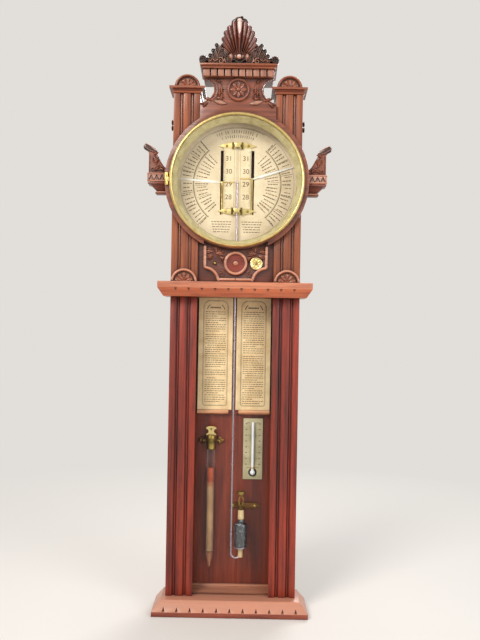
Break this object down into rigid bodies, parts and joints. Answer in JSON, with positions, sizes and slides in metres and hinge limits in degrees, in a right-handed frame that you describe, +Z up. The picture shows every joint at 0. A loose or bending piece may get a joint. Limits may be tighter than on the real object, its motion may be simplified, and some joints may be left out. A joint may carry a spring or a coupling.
{
  "type": "fitzroy barometer",
  "caption": "Wall barometer in a carved oak case: glazed register dial in a hinged brass bezel, racked index pointers and hands, siphon tube, storm glass and thermometer behind glass.",
  "frame": {"origin": "centre of the case's footprint, on the surface that the plinth stands on", "axes": "+Z up the case, +Y towards the wall, +X to the viewer's right"},
  "size_m": [0.367, 0.0962, 1.1593],
  "materials": {
    "oak": "stained and waxed oak, satin",
    "carved_oak": "dark stained carved oak, satin",
    "back_oak": "stained board, satin",
    "brass": "lacquered brass",
    "gilt": "gilt brass",
    "enamel": "white enamel",
    "paper": "printed paper, matt",
    "scale_card": "printed card, matt",
    "card": "aged printed card, matt",
    "glass": "clear glass",
    "mercury": "liquid mercury",
    "liquid": "crystal liquid",
    "cork": "pale cork",
    "ivory": "opal plate, satin"
  },
  "bodies": {
    "case": {"trunk_side_right": "oak", "trunk_side_left": "oak", "trunk_pilaster_right": "oak", "trunk_pilaster_left": "oak", "plinth": "oak", "shelf": "oak", "lower_post_right": "oak", "lower_post_left": "oak", "upper_post_right": "oak", "upper_post_left": "oak", "post_cap_right": "oak", "post_cap_left": "oak", "foot_lunette_right": "oak", "foot_lunette_left": "oak", "dial_drum": "oak", "head_top_board": "oak", "dentil_band": "oak", "cornice": "oak", "wing_right": "carved_oak", "wing_left": "carved_oak", "dial_surround": "carved_oak", "frieze_rosette": "carved_oak", "crest": "carved_oak", "apron_panel": "carved_oak", "apron_roundel": "carved_oak", "backboard": "back_oak", "trunk_floor": "back_oak", "dial_board": "back_oak", "spindle_batten": "back_oak", "card_board_right": "back_oak", "card_board_left": "back_oak", "bezel_hinge": "brass", "tube_clip_top": "brass", "tube_clip_bottom": "brass", "hand_arbor": "brass", "cistern_bracket": "brass", "cistern_cap": "brass", "storm_clamp": "brass", "sight_ring": "gilt", "dial_paper": "paper", "scale_plate": "scale_card", "card_right": "card", "card_left": "card", "trunk_glass": "glass", "barometer_tube": "glass", "storm_glass": "glass", "thermometer_tube": "glass", "mercury": "mercury", "storm_liquid": "liquid", "cistern_stopper": "cork", "thermometer_plate": "ivory"},
    "bezel_door": {"bezel": "brass", "bezel_glass": "glass"},
    "left_spindle": {"spindle_left": "brass"},
    "right_spindle": {"spindle_right": "brass", "setting_knob_right": "brass"},
    "left_rack": {"rack_left": "brass"},
    "right_rack": {"rack_right": "brass"},
    "left_hand": {"hand_left": "enamel"},
    "right_hand": {"hand_right": "enamel"}
  },
  "joints": [
    {"name": "bezel_hinge", "type": "hinge", "parent": "case", "child": "bezel_door", "pos_m": [-0.1345, -0.02295, 0.831], "axis": [0, 0, -1], "range_deg": [0, 110]},
    {"name": "left_setting", "type": "hinge", "parent": "case", "child": "left_spindle", "pos_m": [-0.04, 0.02405, 0.671], "axis": [0, -1, 0], "range_deg": [-217.7, 254.9]},
    {"name": "right_setting", "type": "hinge", "parent": "case", "child": "right_spindle", "pos_m": [0.04, 0.02405, 0.671], "axis": [0, 1, 0], "range_deg": [-272.1, 200.5]},
    {"name": "left_index", "type": "slide", "parent": "case", "child": "left_rack", "axis": [0, 0, 1], "range_m": [-0.0305, 0.0357]},
    {"name": "right_index", "type": "slide", "parent": "case", "child": "right_rack", "axis": [0, 0, 1], "range_m": [-0.0381, 0.0281]},
    {"name": "left_hand_turn", "type": "hinge", "parent": "case", "child": "left_hand", "pos_m": [0, 0.02025, 0.831], "axis": [0, 1, 0], "range_deg": [-40.6, 47.5]},
    {"name": "right_hand_turn", "type": "hinge", "parent": "case", "child": "right_hand", "pos_m": [0, 0.01915, 0.831], "axis": [0, -1, 0], "range_deg": [-50.7, 37.4]}
  ],
  "couplings": [
    {"joint": "left_index", "follows": "left_setting", "m_per_rad": 0.008},
    {"joint": "right_index", "follows": "right_setting", "m_per_rad": 0.008},
    {"joint": "left_hand_turn", "follows": "left_setting", "ratio": 0.1857},
    {"joint": "right_hand_turn", "follows": "right_setting", "ratio": 0.1857}
  ]
}
